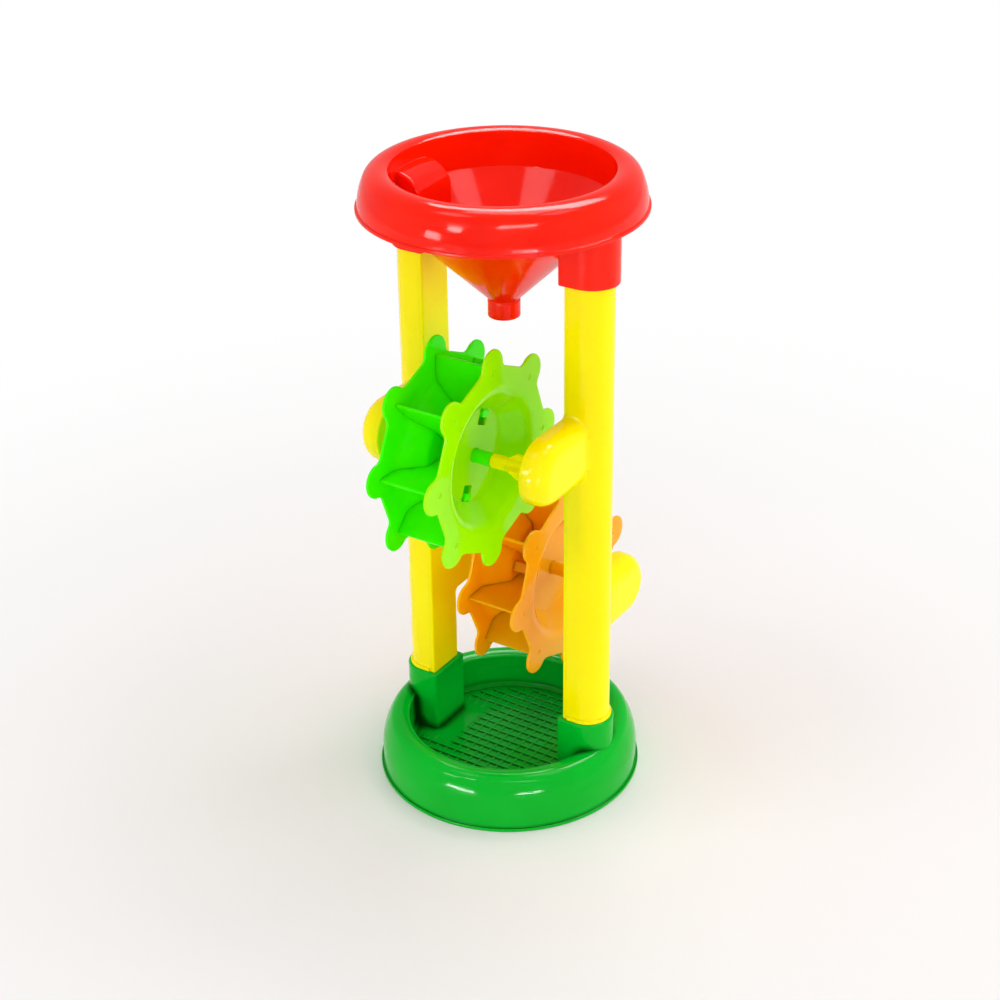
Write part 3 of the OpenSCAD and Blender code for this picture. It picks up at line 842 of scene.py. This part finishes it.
# start, half width, top, rounding and edge of the crown and of the room for the leg inside it
crown_shape = (35.2, 12.7, 302.08, 13, 1.5)
crown_room = (37.2, 10.7, 300.08, 11, 0)
moulded_with(hopper, [crown(*crown_shape), other_side(crown(*crown_shape))], "UNION")
moulded_with(hopper, [crown(*crown_room), other_side(crown(*crown_room))], "DIFFERENCE")
polished(hopper)
hopper.data.materials.clear()
hopper.data.materials.append(
    toy_plastic("red_moulding", (252, 30, 0), (240, 20, 0), (255, 80, 55), glow=0.15, soft_edge=0.6))
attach(hopper, "stand")
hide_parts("hopper")

# Studio: a plain pale floor under the toy that runs out to white. Three panels overhead light the
# toy and show in it, wide fill panels all round only light it, and the cards only show in it, as
# highlights.

floor_mesh = bpy.data.meshes.new("studio_floor")
floor_mesh.from_pydata([(-6, -6, 0), (6, -6, 0), (6, 6, 0), (-6, 6, 0)], [], [(0, 1, 2, 3)])
studio_floor = bpy.data.objects.new("studio_floor", floor_mesh)
bpy.context.scene.collection.objects.link(studio_floor)
paper = bpy.data.materials.new("pale_paper")
paper.use_nodes = True
paper_nodes = paper.node_tree.nodes
paper_link = paper.node_tree.links.new
paper_shader = paper_nodes["Principled BSDF"]
paper_shader.inputs["Base Color"].default_value = plain(235, 231, 230)
paper_shader.inputs["Roughness"].default_value = 0.8
paper_shader.inputs["Specular IOR Level"].default_value = 0.2
paper_place = paper_nodes.new("ShaderNodeTexCoord")
paper_distance = paper_nodes.new("ShaderNodeVectorMath")
paper_distance.operation = "LENGTH"
paper_link(paper_place.outputs["Object"], paper_distance.inputs[0])
paper_fade = paper_nodes.new("ShaderNodeMapRange")
paper_fade.interpolation_type = "SMOOTHSTEP"
paper_fade.inputs["From Min"].default_value = 0.07
paper_fade.inputs["From Max"].default_value = 0.6
paper_link(paper_distance.outputs["Value"], paper_fade.inputs["Value"])
seen = paper_nodes.new("ShaderNodeLightPath")
seen_far = paper_nodes.new("ShaderNodeMath")
seen_far.operation = "MULTIPLY"
paper_link(seen.outputs["Is Camera Ray"], seen_far.inputs[0])
paper_link(paper_fade.outputs["Result"], seen_far.inputs[1])
white = paper_nodes.new("ShaderNodeEmission")
blend = paper_nodes.new("ShaderNodeMixShader")
paper_link(seen_far.outputs["Value"], blend.inputs["Fac"])
paper_link(paper_shader.outputs["BSDF"], blend.inputs[1])
paper_link(white.outputs["Emission"], blend.inputs[2])
paper_link(blend.outputs["Shader"], paper_nodes["Material Output"].inputs["Surface"])
floor_mesh.materials.append(paper)


aim = Vector((0, 0, 0.3))


def panel(name, side, height, distance, size, power, lights=True, mirrored=True):
    """Soft panel that faces the aim; side and height are angles, and side 0 is the front."""
    light = bpy.data.lights.new(name, "AREA")
    light.shape = "RECTANGLE"
    light.size, light.size_y = size
    light.energy = power
    lamp = bpy.data.objects.new(name, light)
    level = math.cos(math.radians(height))
    way = Vector((math.sin(math.radians(side)) * level, -math.cos(math.radians(side)) * level,
                  math.sin(math.radians(height))))
    lamp.location = aim + way * distance
    lamp.rotation_euler = (-way).to_track_quat("-Z", "Y").to_euler()
    lamp.visible_camera = False
    lamp.visible_diffuse = lights
    lamp.visible_glossy = mirrored
    bpy.context.scene.collection.objects.link(lamp)


# side, height, distance, size and power of each
panel("back_overhead_panel", 180, 62, 1.5, (1.1, 0.4), 6.5)
panel("back_overhead_card", 190, 60, 1.5, (1.6, 0.6), 42, lights=False)
panel("overhead_card", 190, 82, 1.5, (0.9, 0.5), 10, lights=False)
panel("right_overhead_panel", 105, 60, 1.5, (0.5, 0.4), 2.4)
panel("left_overhead_panel", -35, 63, 1.5, (0.5, 0.4), 2.6)
for name, side, height, power in (("front_fill_panel", 30, 15, 8.5), ("left_fill_panel", -50, 5, 10),
                                  ("right_fill_panel", 84, 8, 7.5), ("back_fill_panel", 135, 10, 11)):
    panel(name, side, height, 2.0, (1.6, 1.0), power, mirrored=False)
panel("right_card", 43.7, 22.3, 0.76, (0.36, 0.034), 1.2, lights=False)
panel("left_card", -3.6, 14.7, 0.73, (0.13, 0.1), 0.9, lights=False)
panel("left_low_card", -19.7, 1, 0.7, (0.14, 0.11), 0.9, lights=False)
panel("tray_card_left", -8, -16.3, 0.9, (0.36, 0.018), 4.5, lights=False)
panel("tray_card_right", 48.5, -13.5, 0.9, (0.32, 0.022), 3.2, lights=False)

air = bpy.data.worlds.new("studio_air")
bpy.context.scene.world = air
air.use_nodes = True
air_nodes = air.node_tree.nodes
air_glow = air_nodes["Background"]
air_glow.inputs["Color"].default_value = (1, 1, 1, 1)
air_seen = air_nodes.new("ShaderNodeLightPath")
air_level = air_nodes.new("ShaderNodeMapRange")
air_level.inputs["To Min"].default_value = 0.58
air_level.inputs["To Max"].default_value = 1.0
air.node_tree.links.new(air_seen.outputs["Is Camera Ray"], air_level.inputs["Value"])
air.node_tree.links.new(air_level.outputs["Result"], air_glow.inputs["Strength"])
bpy.context.scene.view_settings.view_transform = "Standard"

# Camera: where the photograph was taken from, above the toy and to its right, with the small
# turns that bring the toy to its place in the picture.

turn, rise = math.radians(32.86), math.radians(27.87)
yaw, pitch, roll = math.radians(-0.19), math.radians(-0.52), math.radians(-0.72)
looked_at = Vector((0, 0, 0.155))
camera_distance = 0.92741
back = Vector((math.sin(turn) * math.cos(rise), -math.cos(turn) * math.cos(rise), math.sin(rise)))
ahead = -back
right = Vector((math.cos(turn), math.sin(turn), 0))
up = right.cross(ahead)
ahead_2 = ahead * math.cos(yaw) + right * math.sin(yaw)
right_2 = right * math.cos(yaw) - ahead * math.sin(yaw)
ahead_3 = ahead_2 * math.cos(pitch) + up * math.sin(pitch)
up_3 = up * math.cos(pitch) - ahead_2 * math.sin(pitch)
right_4 = right_2 * math.cos(roll) + up_3 * math.sin(roll)
up_4 = up_3 * math.cos(roll) - right_2 * math.sin(roll)
camera_data = bpy.data.cameras.new("photo_camera")
camera_data.lens = 71.24
camera_data.sensor_width = 36
camera_data.clip_start = 0.05
camera = bpy.data.objects.new("photo_camera", camera_data)
spot = looked_at + back * camera_distance
camera.matrix_world = Matrix(((right_4.x, up_4.x, -ahead_3.x, spot.x),
                              (right_4.y, up_4.y, -ahead_3.y, spot.y),
                              (right_4.z, up_4.z, -ahead_3.z, spot.z),
                              (0, 0, 0, 1)))
bpy.context.scene.collection.objects.link(camera)
bpy.context.scene.camera = camera
